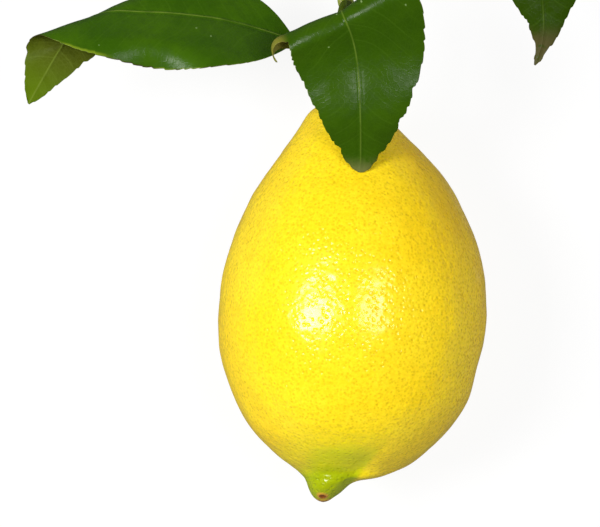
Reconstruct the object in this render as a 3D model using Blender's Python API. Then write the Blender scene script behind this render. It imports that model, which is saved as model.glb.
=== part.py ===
"""A picked lemon with its calyx, a cut length of shoot and three leaves, lying on its side.

The row frame is in metres, +Z up. The origin is the centre of the small flat spot that the fruit rests on.
The fruit's length runs along Y, with the stem end toward +Y and the nipple toward -Y.
"""

import math

import bmesh
import bpy
import numpy as np

MM = 0.001

# Driving dimensions, in millimetres until place() or make_object() turns them into metres.
FRUIT_SIDES = 48
FRUIT_RINGS = 40
FRUIT_AXIS_HEIGHT = 30.6
REST_HEIGHT = 0.0

# Where the middle of the flat spot falls along the fruit; everything is moved so that it becomes the origin.
REST_MIDDLE = (0.30, -2.2)

# The fruit's sections across its length: y, left edge, right edge, lowest and highest from the axis.
FRUIT_SECTIONS = (
    (-48.6, -6.6, -6.6, 1.4, 1.4),
    (-48.3, -7.7, -5.5, 0.3, 2.6),
    (-47.7, -8.6, -4.5, -0.7, 3.9),
    (-46.9, -9.2, -3.3, -1.7, 5.2),
    (-45.4, -9.9, -1.2, -3.3, 6.9),
    (-44.0, -10.3, 1.3, -5.2, 7.6),
    (-42.6, -11.3, 7.5, -9.2, 8.2),
    (-40.6, -14.0, 13.0, -13.4, 9.6),
    (-38.8, -16.7, 15.7, -16.2, 12.9),
    (-36.8, -18.7, 17.9, -18.2, 16.3),
    (-31.5, -23.5, 22.8, -23.0, 22.6),
    (-25.6, -26.7, 26.6, -26.4, 26.8),
    (-18.0, -29.5, 29.0, -29.0, 29.4),
    (-9.0, -30.9, 31.0, -30.6, 31.0),
    (0.0, -30.2, 31.0, -31.0, 30.8),
    (9.0, -28.4, 29.5, -29.8, 29.2),
    (18.0, -25.0, 26.3, -26.6, 26.0),
    (26.0, -20.4, 21.5, -21.6, 21.4),
    (33.3, -15.3, 14.9, -15.6, 15.6),
    (38.0, -12.0, 10.4, -11.6, 11.6),
    (41.6, -9.4, 7.6, -8.4, 8.4),
    (43.6, -5.2, 3.4, -4.2, 4.2),
    (44.0, -0.9, -0.9, 0.0, 0.0),
)
STEM_END = (-0.9, 44.0, FRUIT_AXIS_HEIGHT)

GAP = 0.35
CALYX_RADIUS = 3.6
CALYX_LOBES = 5
CALYX_LOBE_LENGTH = 1.1
CALYX_THICKNESS = 1.3
CALYX_EDGE = 0.6
CALYX_DISHING = 0.018
CALYX_SIDES = 25
CALYX_CIRCLES = 4

# The shoot's centre line from the calyx to the cut end.
TWIG_ROUTE = (
    (-0.9, 46.0, 30.6),
    (-0.4, 49.0, 30.4),
    (0.6, 54.5, 30.0),
    (0.7, 61.5, 29.5),
    (-1.6, 67.5, 29.5),
    (-3.2, 72.5, 29.6),
    (-2.0, 79.5, 30.0),
    (2.4, 87.0, 30.3),
    (8.0, 93.6, 30.8),
    (12.6, 98.2, 31.2),
    (15.6, 103.2, 31.4),
)
TWIG_RADIUS = 1.45
TWIG_FLARE = 0.8
TWIG_FLARE_LENGTH = 1.2
TWIG_NODE_SWELLING = 0.45
TWIG_NODE_LENGTH = 2.2
TWIG_SIDES = 10
TWIG_RINGS = 40

BLADE_THICKNESS = 0.5
MIDRIB_HEIGHT = 0.9
MIDRIB_HALF_WIDTH = 1.0
PETIOLE_RADIUS = 0.95
PETIOLE_RINGS = 7
BLADE_RINGS = 56
BLADE_COLUMNS = 15
MIDRIB_STEPS = 401
FOLD_ROUNDING = 0.8
WAVE_SHIFT = 2.1
CURL_END = (0.36, 0.46)
CURL_FADE = 8.0
CUP_CHANGE = (0.40, 0.75)

# One entry a leaf, lengths in millimetres and angles in degrees.
# outline: half width at fractions of the length; lean: the midrib's lean in the blade's own plane.
# cup: how far the margins sink, toward the base and toward the tip.
# rolls: across the blade, at a distance from the anchor, slant, radius, angle, and the end that is rolled.
# swell: the blade's slow rise and fall along its length: height, length, where it starts.
# droop: where one side hangs: side, distance from the base, spread, start across the blade, depth.
# lobes: where one side is wider or narrower: side, fraction of the length, spread, extra width.
# curl: the margin on side 1 is curled under from a distance off the midrib, round a radius, near the base.
LEAVES = {
    "leaf_front": {
        "length": 58.0,
        "half_widths": (17.1, 15.7),
        "outline": ((0, 0.05), (0.06, 0.34), (0.15, 0.66), (0.28, 0.94), (0.38, 1.0), (0.52, 0.92),
                    (0.66, 0.755), (0.80, 0.54), (0.91, 0.33), (0.97, 0.18), (0.99, 0.11), (1, 0.04)),
        "lean": ((0, -46), (0.28, -42), (0.42, -22), (0.58, -7), (0.8, -2), (1, 0)),
        "folds": (16.0, 4.0),
        "cup": (2.5, 3.0),
        "swell": (0.9, 24.0, 38.0),
        "wave": (0.35, 22.0, 0.3),
        "rolls": ((-35.5, 28.5, 2.0, 120.0, "base"),),
        "lobes": ((1, 0.27, 0.052, 6.6), (1, 0.40, 0.09, -1.9)),
        "curl": (14.7, 3.2),
        "anchor": 58.0,
        "at": (1.6, 26.5, 52.5),
        "heading": -90.5,
        "roll": 0.0,
        "pitch": -17.0,
        "root": (-1.3, 66.0, 31.8),
        "root_direction": (-0.35, 0.1, 0.93),
    },
    "leaf_left": {
        "length": 73.8,
        "half_widths": (18.1, 13.8),
        "outline": ((0, 0.05), (0.06, 0.34), (0.15, 0.66), (0.28, 0.94), (0.38, 1.0), (0.52, 0.92),
                    (0.66, 0.72), (0.80, 0.46), (0.91, 0.24), (0.975, 0.10), (1, 0.02)),
        "lean": ((0, 0), (0.54, 0), (0.75, 4), (1, 6)),
        "folds": (10.0, 4.0),
        "cup": (0.5, 0.5),
        "wave": (0.35, 22.0, 0.3),
        "rolls": ((39.8, -58.5, 4.0, 159.0, "tip"), (0.0, 0.0, 68.0, 28.0, "tip")),
        "lobes": ((-1, 0.44, 0.15, -3.6), (1, 0.50, 0.13, -2.0)),
        "droop": (-1, 33.0, 11.0, 0.62, 4.2),
        "anchor": 0.0,
        "at": (-13.25, 57.15, 38.0),
        "heading": 159.4,
        "roll": -42.0,
        "pitch": 23.0,
        "root": (-1.7, 52.6, 31.0),
        "root_direction": (-0.9, 0.3, 0.3),
    },
    "leaf_right": {
        "length": 60.0,
        "half_widths": (17.0, 13.9),
        "outline": ((0, 0.05), (0.06, 0.34), (0.15, 0.66), (0.28, 0.94), (0.38, 1.0), (0.52, 0.92),
                    (0.64, 0.72), (0.745, 0.48), (0.823, 0.31), (0.90, 0.165), (0.923, 0.125),
                    (0.948, 0.085), (0.98, 0.05), (1, 0.012)),
        "lean": ((0, -52), (0.25, -44), (0.42, -28), (0.58, -12), (0.745, -5), (0.85, 0),
                 (0.92, 12), (1, 26)),
        "folds": (12.0, 4.0),
        "cup": (1.6, 1.6),
        "wave": (0.35, 22.0, 1.3),
        "rolls": ((-25.0, 0.0, 14.0, 75.0, "base"),),
        "anchor": 60.0,
        "at": (41.2, 51.3, 44.0),
        "heading": -89.5,
        "roll": 0.0,
        "pitch": -14.0,
        "root": (14.9, 97.4, 31.9),
        "root_direction": (0.75, -0.1, 0.4),
    },
}

PEEL_COLOUR = (0.90, 0.66, 0.03, 1.0)
CALYX_COLOUR = (0.22, 0.27, 0.06, 1.0)
TWIG_COLOUR = (0.30, 0.36, 0.07, 1.0)
LEAF_COLOUR = (0.05, 0.14, 0.02, 1.0)


def clear_scene():
    for item in list(bpy.data.objects):
        bpy.data.objects.remove(item, do_unlink=True)


def make_material(name, colour, roughness):
    material = bpy.data.materials.new(name)
    material.use_nodes = True
    shader = material.node_tree.nodes["Principled BSDF"]
    shader.inputs["Base Color"].default_value = colour
    shader.inputs["Roughness"].default_value = roughness
    shader.inputs["Metallic"].default_value = 0.0
    material.diffuse_color = colour
    return material


def smooth_curve(knots, values, places):
    """Values at the places, on a cubic through every knot; values may be rows of several numbers."""
    knots = np.asarray(knots, float)
    values = np.asarray(values, float)
    places = np.asarray(places, float)
    slopes = np.gradient(values, knots, axis=0)
    first = np.clip(np.searchsorted(knots, places, side="right") - 1, 0, len(knots) - 2)
    span = knots[first + 1] - knots[first]
    t = (places - knots[first]) / span
    if values.ndim > 1:
        span = span[:, None]
        t = t[:, None]
    start = (2 * t**3 - 3 * t**2 + 1) * values[first] + (t**3 - 2 * t**2 + t) * span * slopes[first]
    end = (3 * t**2 - 2 * t**3) * values[first + 1] + (t**3 - t**2) * span * slopes[first + 1]
    return start + end


def skin_rings(mesh, rings, start_point=None, end_point=None):
    """Joins closed rings of points into one skin, each end closed by a fan to a point or by a flat face."""
    loops = [[mesh.verts.new(point) for point in ring] for ring in rings]
    count = len(loops[0])
    for lower, upper in zip(loops, loops[1:]):
        for i in range(count):
            j = (i + 1) % count
            mesh.faces.new((lower[i], lower[j], upper[j], upper[i]))
    for loop, point, flip in ((loops[0], start_point, True), (loops[-1], end_point, False)):
        if point is None:
            mesh.faces.new(loop[::-1] if flip else loop)
            continue
        centre = mesh.verts.new(point)
        for i in range(count):
            j = (i + 1) % count
            mesh.faces.new((loop[j], loop[i], centre) if flip else (loop[i], loop[j], centre))


def make_object(name, mesh, material, sharp_degrees=40.0):
    """Turns a bmesh in millimetres into a named object in metres, smooth except at its sharp edges."""
    bmesh.ops.translate(mesh, vec=(-REST_MIDDLE[0], -REST_MIDDLE[1], 0.0), verts=mesh.verts)
    bmesh.ops.scale(mesh, vec=(MM, MM, MM), verts=mesh.verts)
    bmesh.ops.recalc_face_normals(mesh, faces=mesh.faces)
    data = bpy.data.meshes.new(name)
    mesh.to_mesh(data)
    mesh.free()
    data.shade_smooth()
    data.set_sharp_from_angle(angle=math.radians(sharp_degrees))
    data.materials.append(material)
    item = bpy.data.objects.new(name, data)
    bpy.context.collection.objects.link(item)
    return item


def fruit_section(row):
    """An oval section between the row's left, right, lowest and highest points."""
    y, left, right, low, high = row
    ring = []
    for i in range(FRUIT_SIDES):
        turn = 2 * math.pi * i / FRUIT_SIDES
        x = (left + right) / 2 + (right - left) / 2 * math.cos(turn)
        z = (low + high) / 2 + (high - low) / 2 * math.sin(turn)
        ring.append((x, y, FRUIT_AXIS_HEIGHT + z))
    return ring


def build_fruit(material):
    """The whole fruit: sections lofted from the nipple to the stem end, with a flat spot cut underneath."""
    rows = np.array(FRUIT_SECTIONS)
    steps = np.linalg.norm(np.diff(rows[:, [0, 2, 3]], axis=0), axis=1)
    knots = np.concatenate(([0.0], np.cumsum(steps)))
    places = np.linspace(0.0, knots[-1], FRUIT_RINGS + 2)
    lofted = smooth_curve(knots, rows, places)
    mesh = bmesh.new()
    nipple = (rows[0, 1], rows[0, 0], FRUIT_AXIS_HEIGHT + rows[0, 3])
    skin_rings(mesh, [fruit_section(row) for row in lofted[1:-1]], nipple, STEM_END)
    everything = mesh.verts[:] + mesh.edges[:] + mesh.faces[:]
    bmesh.ops.bisect_plane(mesh, geom=everything, dist=0.001, plane_co=(0, 0, REST_HEIGHT),
                           plane_no=(0, 0, -1), clear_outer=True)
    rim = [edge for edge in mesh.edges if edge.is_boundary]
    bmesh.ops.contextual_create(mesh, geom=rim)
    return make_object("fruit", mesh, material, 75.0)


def build_calyx(material):
    """A five-lobed disc, dished to follow the fruit's shoulder."""
    mesh = bmesh.new()
    bottom_y = STEM_END[1] + GAP
    rings = []
    for side in ("under", "over"):
        fractions = [k / CALYX_CIRCLES for k in range(1, CALYX_CIRCLES + 1)]
        if side == "over":
            fractions = fractions[::-1]
        for fraction in fractions:
            ring = []
            for i in range(CALYX_SIDES):
                turn = 2 * math.pi * i / CALYX_SIDES
                edge = CALYX_RADIUS + CALYX_LOBE_LENGTH * math.cos(CALYX_LOBES * turn)
                radius = fraction * edge
                y = bottom_y - CALYX_DISHING * radius**2
                if side == "over":
                    y += CALYX_THICKNESS + (CALYX_EDGE - CALYX_THICKNESS) * fraction
                x = STEM_END[0] + radius * math.cos(turn)
                z = STEM_END[2] + radius * math.sin(turn)
                ring.append((x, y, z))
            rings.append(ring)
    under = (STEM_END[0], bottom_y, STEM_END[2])
    over = (STEM_END[0], bottom_y + CALYX_THICKNESS, STEM_END[2])
    skin_rings(mesh, rings, under, over)
    return make_object("calyx", mesh, material)


def unit(vector):
    vector = np.asarray(vector, float)
    return vector / np.linalg.norm(vector)


def twig_route():
    """The shoot's centre line, evenly stepped."""
    points = np.array(TWIG_ROUTE)
    steps = np.linalg.norm(np.diff(points, axis=0), axis=1)
    knots = np.concatenate(([0.0], np.cumsum(steps)))
    places = np.linspace(0.0, knots[-1], TWIG_RINGS)
    return places, smooth_curve(knots, points, places)


def twig_radius(place, route, places):
    """Thicker at the calyx and at each leaf's node."""
    radius = TWIG_RADIUS + TWIG_FLARE * math.exp(-place / TWIG_FLARE_LENGTH)
    for leaf in LEAVES.values():
        nearest = places[np.argmin(np.linalg.norm(route - np.array(leaf["root"]), axis=1))]
        radius += TWIG_NODE_SWELLING * bell(place - nearest, TWIG_NODE_LENGTH)
    return radius


def build_twig(material):
    places, route = twig_route()
    tangents = np.gradient(route, axis=0)
    rings = []
    side = np.array((0.0, 0.0, 1.0))
    for place, point, tangent in zip(places, route, tangents):
        tangent = unit(tangent)
        side = unit(side - tangent * np.dot(side, tangent))
        across = np.cross(tangent, side)
        radius = twig_radius(place, route, places)
        turns = [2 * math.pi * i / TWIG_SIDES for i in range(TWIG_SIDES)]
        rings.append([point + radius * (math.cos(t) * side + math.sin(t) * across) for t in turns])
    mesh = bmesh.new()
    skin_rings(mesh, rings)
    return make_object("twig", mesh, material)


def smooth_step(value, low, high):
    """0 below low, 1 above high, and a smooth rise between them."""
    t = np.clip((value - low) / (high - low), 0.0, 1.0)
    return t * t * (3 - 2 * t)


def bell(value, width):
    """1 at value 0, falling smoothly away on both sides."""
    return np.exp(-((value / width) ** 2))


def roll_blade(points, at, slant, radius, degrees, end):
    """Rolls what lies beyond a slanting line across the blade, toward its underside, round a radius."""
    sign = 1.0 if end == "tip" else -1.0
    angle = math.radians(degrees)
    along = np.array((math.cos(math.radians(slant)), math.sin(math.radians(slant))))
    beyond = np.array((-along[1], along[0]))
    x = points[..., 0]
    y = points[..., 1] - at
    z = points[..., 2]
    p = x * along[0] + y * along[1]
    q = (x * beyond[0] + y * beyond[1]) * sign
    arc = np.clip(q, 0.0, radius * angle)
    turned = arc / radius
    rest = q - arc
    rolled_q = np.where(q < 0, q, (radius + z) * np.sin(turned) + rest * np.cos(turned)) * sign
    rolled_z = np.where(q < 0, z, (radius + z) * np.cos(turned) - radius - rest * np.sin(turned))
    rolled_x = p * along[0] + rolled_q * beyond[0]
    rolled_y = p * along[1] + rolled_q * beyond[1] + at
    return np.stack((rolled_x, rolled_y, rolled_z), axis=-1)


def midrib(leaf, distances):
    """The midrib in the flat blade's plane, measured from the anchor, and the direction across it."""
    fine = np.linspace(0.0, leaf["length"], MIDRIB_STEPS)
    fractions, leans = zip(*leaf["lean"])
    lean = np.radians(smooth_curve(fractions, leans, fine / leaf["length"]))
    step = fine[1] - fine[0]
    x = np.concatenate(([0.0], np.cumsum((np.sin(lean[1:]) + np.sin(lean[:-1])) / 2) * step))
    y = np.concatenate(([0.0], np.cumsum((np.cos(lean[1:]) + np.cos(lean[:-1])) / 2) * step))
    x -= np.interp(leaf["anchor"], fine, x)
    y -= np.interp(leaf["anchor"], fine, y)
    here = np.interp(distances, fine, lean)
    line = np.stack((np.interp(distances, fine, x), np.interp(distances, fine, y)), axis=-1)
    return line, np.stack((np.cos(here), -np.sin(here)), axis=-1)


def half_width(leaf, fraction, across):
    """The outline at fractions of the length, and the half width there on the side that across is on."""
    fractions, widths = zip(*leaf["outline"])
    half = np.clip(smooth_curve(fractions, widths, fraction), 0.02, None)
    wide = half * np.where(across > 0, leaf["half_widths"][1], leaf["half_widths"][0])
    for side, at, spread, extra in leaf.get("lobes", ()):
        wide = wide + extra * bell(fraction - at, spread) * (np.sign(across) == side)
    return half, wide


def curl_margin(leaf, fraction, x, lift):
    """Where the curled margin moves each point: its new distance from the midrib and how far it sinks."""
    if "curl" not in leaf:
        return x, np.zeros_like(x)
    start, radius = leaf["curl"]
    start = start + CURL_FADE * smooth_step(fraction, *CURL_END)
    turned = np.clip((x - start) / radius, 0.0, None)
    curled_x = np.where(turned > 0, start + (radius + lift) * np.sin(turned), x)
    return curled_x, (radius + lift) * (1 - np.cos(turned))


def hanging(leaf, distances, across):
    """How far the blade sinks where one side of it hangs."""
    if "droop" not in leaf:
        return np.zeros_like(distances)
    side, at, spread, start, depth = leaf["droop"]
    beyond = np.clip((across * side - start) / (1 - start), 0.0, None)
    return depth * bell(distances - at, spread) * beyond**2


def swelling(leaf, distances):
    """The blade's slow rise and fall along its length."""
    if "swell" not in leaf:
        return np.zeros_like(distances)
    height, length, start = leaf["swell"]
    return height * np.sin(2 * math.pi * (distances - start) / length)


def blade_points(leaf, distances, across, lift):
    """Points at distances from the blade's base, at -1 to 1 across it, lifted off its middle surface."""
    fraction = distances / leaf["length"]
    half, wide = half_width(leaf, fraction, across)
    x, sunk = curl_margin(leaf, fraction, across * wide, lift)
    sunk = sunk + hanging(leaf, distances, across)
    line, sideways = midrib(leaf, distances)
    fold = np.radians(leaf["folds"][0] + (leaf["folds"][1] - leaf["folds"][0]) * fraction)
    cup = leaf["cup"][0] + (leaf["cup"][1] - leaf["cup"][0]) * smooth_step(fraction, *CUP_CHANGE)
    z = np.tan(fold) * (np.sqrt(x**2 + FOLD_ROUNDING**2) - FOLD_ROUNDING) - cup * across**2 * half - sunk
    z = z + swelling(leaf, distances)
    amplitude, length, phase = leaf["wave"]
    phases = phase + np.where(across > 0, 0.0, WAVE_SHIFT)
    z = z + amplitude * across**2 * np.sin(2 * math.pi * distances / length + phases) + lift
    flat = np.stack((line[..., 0] + x * sideways[..., 0], line[..., 1] + x * sideways[..., 1], z), axis=-1)
    for roll in leaf["rolls"]:
        flat = roll_blade(flat, *roll)
    return place(leaf, flat)


def place(leaf, points):
    """From the blade's own axes to the row frame."""
    heading, roll, pitch = (math.radians(leaf[key]) for key in ("heading", "roll", "pitch"))
    flat_ahead = np.array((math.cos(heading), math.sin(heading), 0.0))
    ahead = flat_ahead * math.cos(pitch) + np.array((0.0, 0.0, math.sin(pitch)))
    right = np.array((math.sin(heading), -math.cos(heading), 0.0))
    up = np.cross(right, ahead)
    across = right * math.cos(roll) + up * math.sin(roll)
    normal = up * math.cos(roll) - right * math.sin(roll)
    moved = points[..., 0:1] * across + points[..., 1:2] * ahead + points[..., 2:3] * normal
    return np.array(leaf["at"]) + moved


def blade_lift(leaf, distances, across, side):
    """Half the blade's thickness, with the midrib's ridge along the underside and thin round edges."""
    fraction = distances / leaf["length"]
    edge = np.sqrt(np.clip(1.0 - across**6, 0.0, None))
    lift = 0.5 * BLADE_THICKNESS * np.maximum(edge, 0.5)
    if side == "over":
        return lift
    _, wide = half_width(leaf, fraction, across)
    ridge = MIDRIB_HEIGHT * (1.0 - fraction) * bell(across * wide, MIDRIB_HALF_WIDTH)
    return -(lift + ridge)


def blade_rings(leaf):
    """Closed sections of the blade from its base to its tip."""
    columns = np.sin(np.linspace(-math.pi / 2, math.pi / 2, BLADE_COLUMNS))
    rings = []
    for distance in np.linspace(0.0, leaf["length"], BLADE_RINGS):
        loop = []
        for side, order in (("over", columns), ("under", columns[::-1])):
            distances = np.full(BLADE_COLUMNS, distance)
            lift = blade_lift(leaf, distances, order, side)
            loop.extend(blade_points(leaf, distances, order, lift))
        rings.append(loop)
    return rings


def petiole_rings(leaf, first):
    """Sections from the root on the shoot to the blade's first section, round at the root."""
    first = np.array(first)
    count = len(first)
    end = first.mean(axis=0)
    tip_ward = blade_points(leaf, np.array((0.0, 1.0)), np.zeros(2), np.zeros(2))
    end_way = unit(tip_ward[1] - tip_ward[0])
    start = np.array(leaf["root"])
    start_way = unit(leaf["root_direction"])
    reach = np.linalg.norm(end - start)
    lateral = unit(first[BLADE_COLUMNS - 1] - first[0])
    rings = []
    for k in range(PETIOLE_RINGS):
        t = k / PETIOLE_RINGS
        point = ((2 * t**3 - 3 * t**2 + 1) * start + (t**3 - 2 * t**2 + t) * reach * start_way
                 + (3 * t**2 - 2 * t**3) * end + (t**3 - t**2) * reach * end_way)
        way = unit((6 * t**2 - 6 * t) * start + (3 * t**2 - 4 * t + 1) * reach * start_way
                   + (6 * t - 6 * t**2) * end + (3 * t**2 - 2 * t) * reach * end_way)
        side = unit(lateral - way * np.dot(lateral, way))
        up = np.cross(side, way)
        turns = [math.pi - math.pi * i / (count / 2 - 1) for i in range(count // 2)]
        turns += [-math.pi * (i + 0.5) / (count / 2) for i in range(count // 2)]
        round_ring = [point + PETIOLE_RADIUS * (math.cos(a) * side + math.sin(a) * up) for a in turns]
        rings.append(round_ring)
    return rings


def build_leaf(name, leaf, material):
    """One leaf: a round stalk that widens into a thin rolled blade."""
    blade = blade_rings(leaf)
    mesh = bmesh.new()
    skin_rings(mesh, petiole_rings(leaf, blade[0]) + blade)
    return make_object(name, mesh, material, 60.0)


def build():
    clear_scene()
    build_fruit(make_material("lemon_peel", PEEL_COLOUR, 0.35))
    build_calyx(make_material("calyx_green", CALYX_COLOUR, 0.7))
    build_twig(make_material("green_shoot", TWIG_COLOUR, 0.6))
    leaf_material = make_material("leaf_green", LEAF_COLOUR, 0.35)
    for name, leaf in LEAVES.items():
        build_leaf(name, leaf, leaf_material)


build()
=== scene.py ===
"""The looks of a picked lemon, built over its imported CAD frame: peel, calyx, shoot, buds and three leaves.

Shapes are worked out in millimetres, and each piece is made in metres in the row frame. The driving
dimensions are the CAD part's, but the blades are thinner, the calyx is thicker and the shoot starts nearer
the fruit. The fruit's length runs along Y, with the stem end toward +Y. A mark is a number at each point of
a mesh, mostly from 0 to 1, that tells the material where a colour belongs.
"""

import math

import bmesh
import bpy
import numpy as np
from mathutils import Matrix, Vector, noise


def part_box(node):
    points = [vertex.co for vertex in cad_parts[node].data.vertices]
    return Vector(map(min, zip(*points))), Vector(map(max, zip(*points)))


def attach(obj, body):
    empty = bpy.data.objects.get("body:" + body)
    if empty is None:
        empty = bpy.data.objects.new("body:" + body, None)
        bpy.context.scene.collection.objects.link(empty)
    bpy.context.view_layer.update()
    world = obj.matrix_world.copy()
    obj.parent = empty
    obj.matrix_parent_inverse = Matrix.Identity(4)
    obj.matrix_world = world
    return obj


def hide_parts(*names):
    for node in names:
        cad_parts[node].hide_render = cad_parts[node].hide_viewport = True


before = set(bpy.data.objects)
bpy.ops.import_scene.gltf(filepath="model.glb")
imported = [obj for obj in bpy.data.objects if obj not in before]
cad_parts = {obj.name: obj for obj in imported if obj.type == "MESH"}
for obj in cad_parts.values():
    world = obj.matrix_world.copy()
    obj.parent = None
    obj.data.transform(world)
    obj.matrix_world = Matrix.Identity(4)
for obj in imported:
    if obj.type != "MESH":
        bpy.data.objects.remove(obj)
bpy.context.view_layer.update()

MM = 0.001

# -------------------------------- driving dimensions, in mm and degrees

# Where the middle of the flat spot falls in the shapes' own axes; it is the row frame's origin.
REST_MIDDLE = (0.30, -2.2)

FRUIT_SIDES = 384
FRUIT_RINGS = 250
FRUIT_AXIS_HEIGHT = 30.6
# The fruit's sections across its length: y, left edge, right edge, lowest and highest from the axis.
FRUIT_SECTIONS = (
    (-48.6, -6.6, -6.6, 1.4, 1.4),
    (-48.3, -7.7, -5.5, 0.3, 2.6),
    (-47.7, -8.6, -4.5, -0.7, 3.9),
    (-46.9, -9.2, -3.3, -1.7, 5.2),
    (-45.4, -9.9, -1.2, -3.3, 6.9),
    (-44.0, -10.3, 1.3, -5.2, 7.6),
    (-42.6, -11.3, 7.5, -9.2, 8.2),
    (-40.6, -14.0, 13.0, -13.4, 9.6),
    (-38.8, -16.7, 15.7, -16.2, 12.9),
    (-36.8, -18.7, 17.9, -18.2, 16.3),
    (-31.5, -23.5, 22.8, -23.0, 22.6),
    (-25.6, -26.7, 26.6, -26.4, 26.8),
    (-18.0, -29.5, 29.0, -29.0, 29.4),
    (-9.0, -30.9, 31.0, -30.6, 31.0),
    (0.0, -30.2, 31.0, -31.0, 30.8),
    (9.0, -28.4, 29.5, -29.8, 29.2),
    (18.0, -25.0, 26.3, -26.6, 26.0),
    (26.0, -20.4, 21.5, -21.6, 21.4),
    (33.3, -15.3, 14.9, -15.6, 15.6),
    (38.0, -12.0, 10.4, -11.6, 11.6),
    (41.6, -9.4, 7.6, -8.4, 8.4),
    (43.6, -5.2, 3.4, -4.2, 4.2),
    (44.0, -0.9, -0.9, 0.0, 0.0),
)
STEM_END = (-0.9, 44.0, FRUIT_AXIS_HEIGHT)
STYLE_SCAR = (-6.7, -46.9, 35.6)
SCAR_RADIUS = 0.45
SCAR_RIM_RADIUS = 0.75

# The skin's swells are noise of three sizes, each with its height, size and seed.
SKIN_SWELLS = ((0.26, 13.0, 1), (0.13, 5.5, 2), (0.05, 2.6, 3))
DIMPLE_SPACING = 2.1
DIMPLE_DEPTH = 0.045
# On the upper side a crease leaves the nipple toward the right, with a raised shoulder beyond it.
CREASE_START = (-0.6, -43.8)
CREASE_END = (5.4, -35.6)
CREASE_WIDTH = 1.8
CREASE_DEPTH = 0.42
SHOULDER_OFFSET = 3.2
SHOULDER_WIDTH = 2.2
SHOULDER_HEIGHT = 0.22
SHOULDER_STRETCH = (-46.0, -42.0, -37.0, -33.0)
# The nipple's neck is a little fuller there too: its middle, its reach across and along, and its height.
NECK_MIDDLE = (-5.6, -42.4)
NECK_REACH = (3.9, 2.3)
NECK_HEIGHT = 0.75

# The nipple turns from the wash's yellow-green to green between two distances from the fruit's middle.
GREEN_FROM = 38.4
GREEN_FULL = 41.6
WASH_MIDDLE = (-2.6, -39.6, FRUIT_AXIS_HEIGHT + 8.0)
WASH_REACH = (8.8, 6.0, 26.0)
# Marks along one side of the fruit: the turn from its right side and the reach, in radians, and where along
# its length the mark starts, is full, fades and ends.
SIDE_MARKS = {
    # coarse: darker, more orange pores and pale flecks on the right side: partly the peel's own coarser
    # pores, partly painted shade in the pores and painted glints where light grazes it.
    "coarse_shade_and_glints": (0.15, 0.55, (-38.0, -26.0, 34.0, 41.0)),
    # russet: pale tan mottling along the right edge: partly russet, partly a painted reflection of the pale
    # floor at the grazing edge.
    "russet_and_reflection": (0.06, 0.26, (-12.0, 6.0, 37.0, 41.0)),
    "nick": (math.pi - 0.02, 0.13, (8.0, 11.0, 21.0, 25.0)),
}
# A darker, more orange patch on the fruit's upper right side, about its middle: painted shade.
SHADE_PATCH_TURN = 0.62
SHADE_PATCH_REACH = 0.50
SHADE_PATCH_MIDDLE = 22.0
SHADE_PATCH_LENGTH = 17.0

CALYX_RADIUS = 3.6
CALYX_LOBES = 5
CALYX_LOBE_LENGTH = 1.1
CALYX_NOTCH = 0.9
CALYX_THICKNESS = 1.5
CALYX_EDGE_THICKNESS = 0.25
CALYX_ARCHING = 0.034
CALYX_SIDES = 160
CALYX_UNDER_RINGS = 18
CALYX_OVER_RINGS = 30

TWIG_ROUTE = (
    (-0.9, 44.8, 30.6),
    (-0.4, 49.0, 30.4),
    (0.6, 54.5, 30.0),
    (0.7, 61.5, 29.5),
    (-1.6, 67.5, 29.5),
    (-3.2, 72.5, 29.6),
    (-2.0, 79.5, 30.0),
    (2.4, 87.0, 30.3),
    (8.0, 93.6, 30.8),
    (12.6, 98.2, 31.2),
    (15.6, 103.2, 31.4),
)
TWIG_RADIUS = 1.45
TWIG_FLARE = 0.8
TWIG_NODE_SWELLING = 0.45
TWIG_NODE_LENGTH = 2.2
TWIG_SIDES = 56
TWIG_RINGS = 260
# The shoot's cut end, from a rim over the wood to the pith: shares of the radius, and how far each is sunk.
TWIG_CUT = ((0.90, -0.02), (0.80, 0.06), (0.55, 0.0), (0.34, 0.03), (0.25, 0.14), (0.08, 0.16))

BUD_LENGTH = 1.9
BUD_GIRTH = 0.62
BUD_SIDES = 24
BUD_RINGS = 26
BUD_ABOVE_ROOT = 1.3

BLADE_THICKNESS = 0.34
BLADE_RINGS = 250
BLADE_COLUMNS = 92
FOLD_ROUNDING = 0.8
RIB_WIDTH = 0.20
RIB_HEIGHT = 0.05
GROOVE_DEPTH = 0.08
KEEL_WIDTH = 0.75
KEEL_HEIGHT = 0.62
PETIOLE_RADIUS = 0.95
PETIOLE_RINGS = 34

# How all three blades widen from the base: fractions of the length, and shares of the greatest half width.
BLADE_BASE = ((0, 0.05), (0.06, 0.34), (0.15, 0.66), (0.28, 0.94), (0.38, 1.0), (0.52, 0.92))
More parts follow.
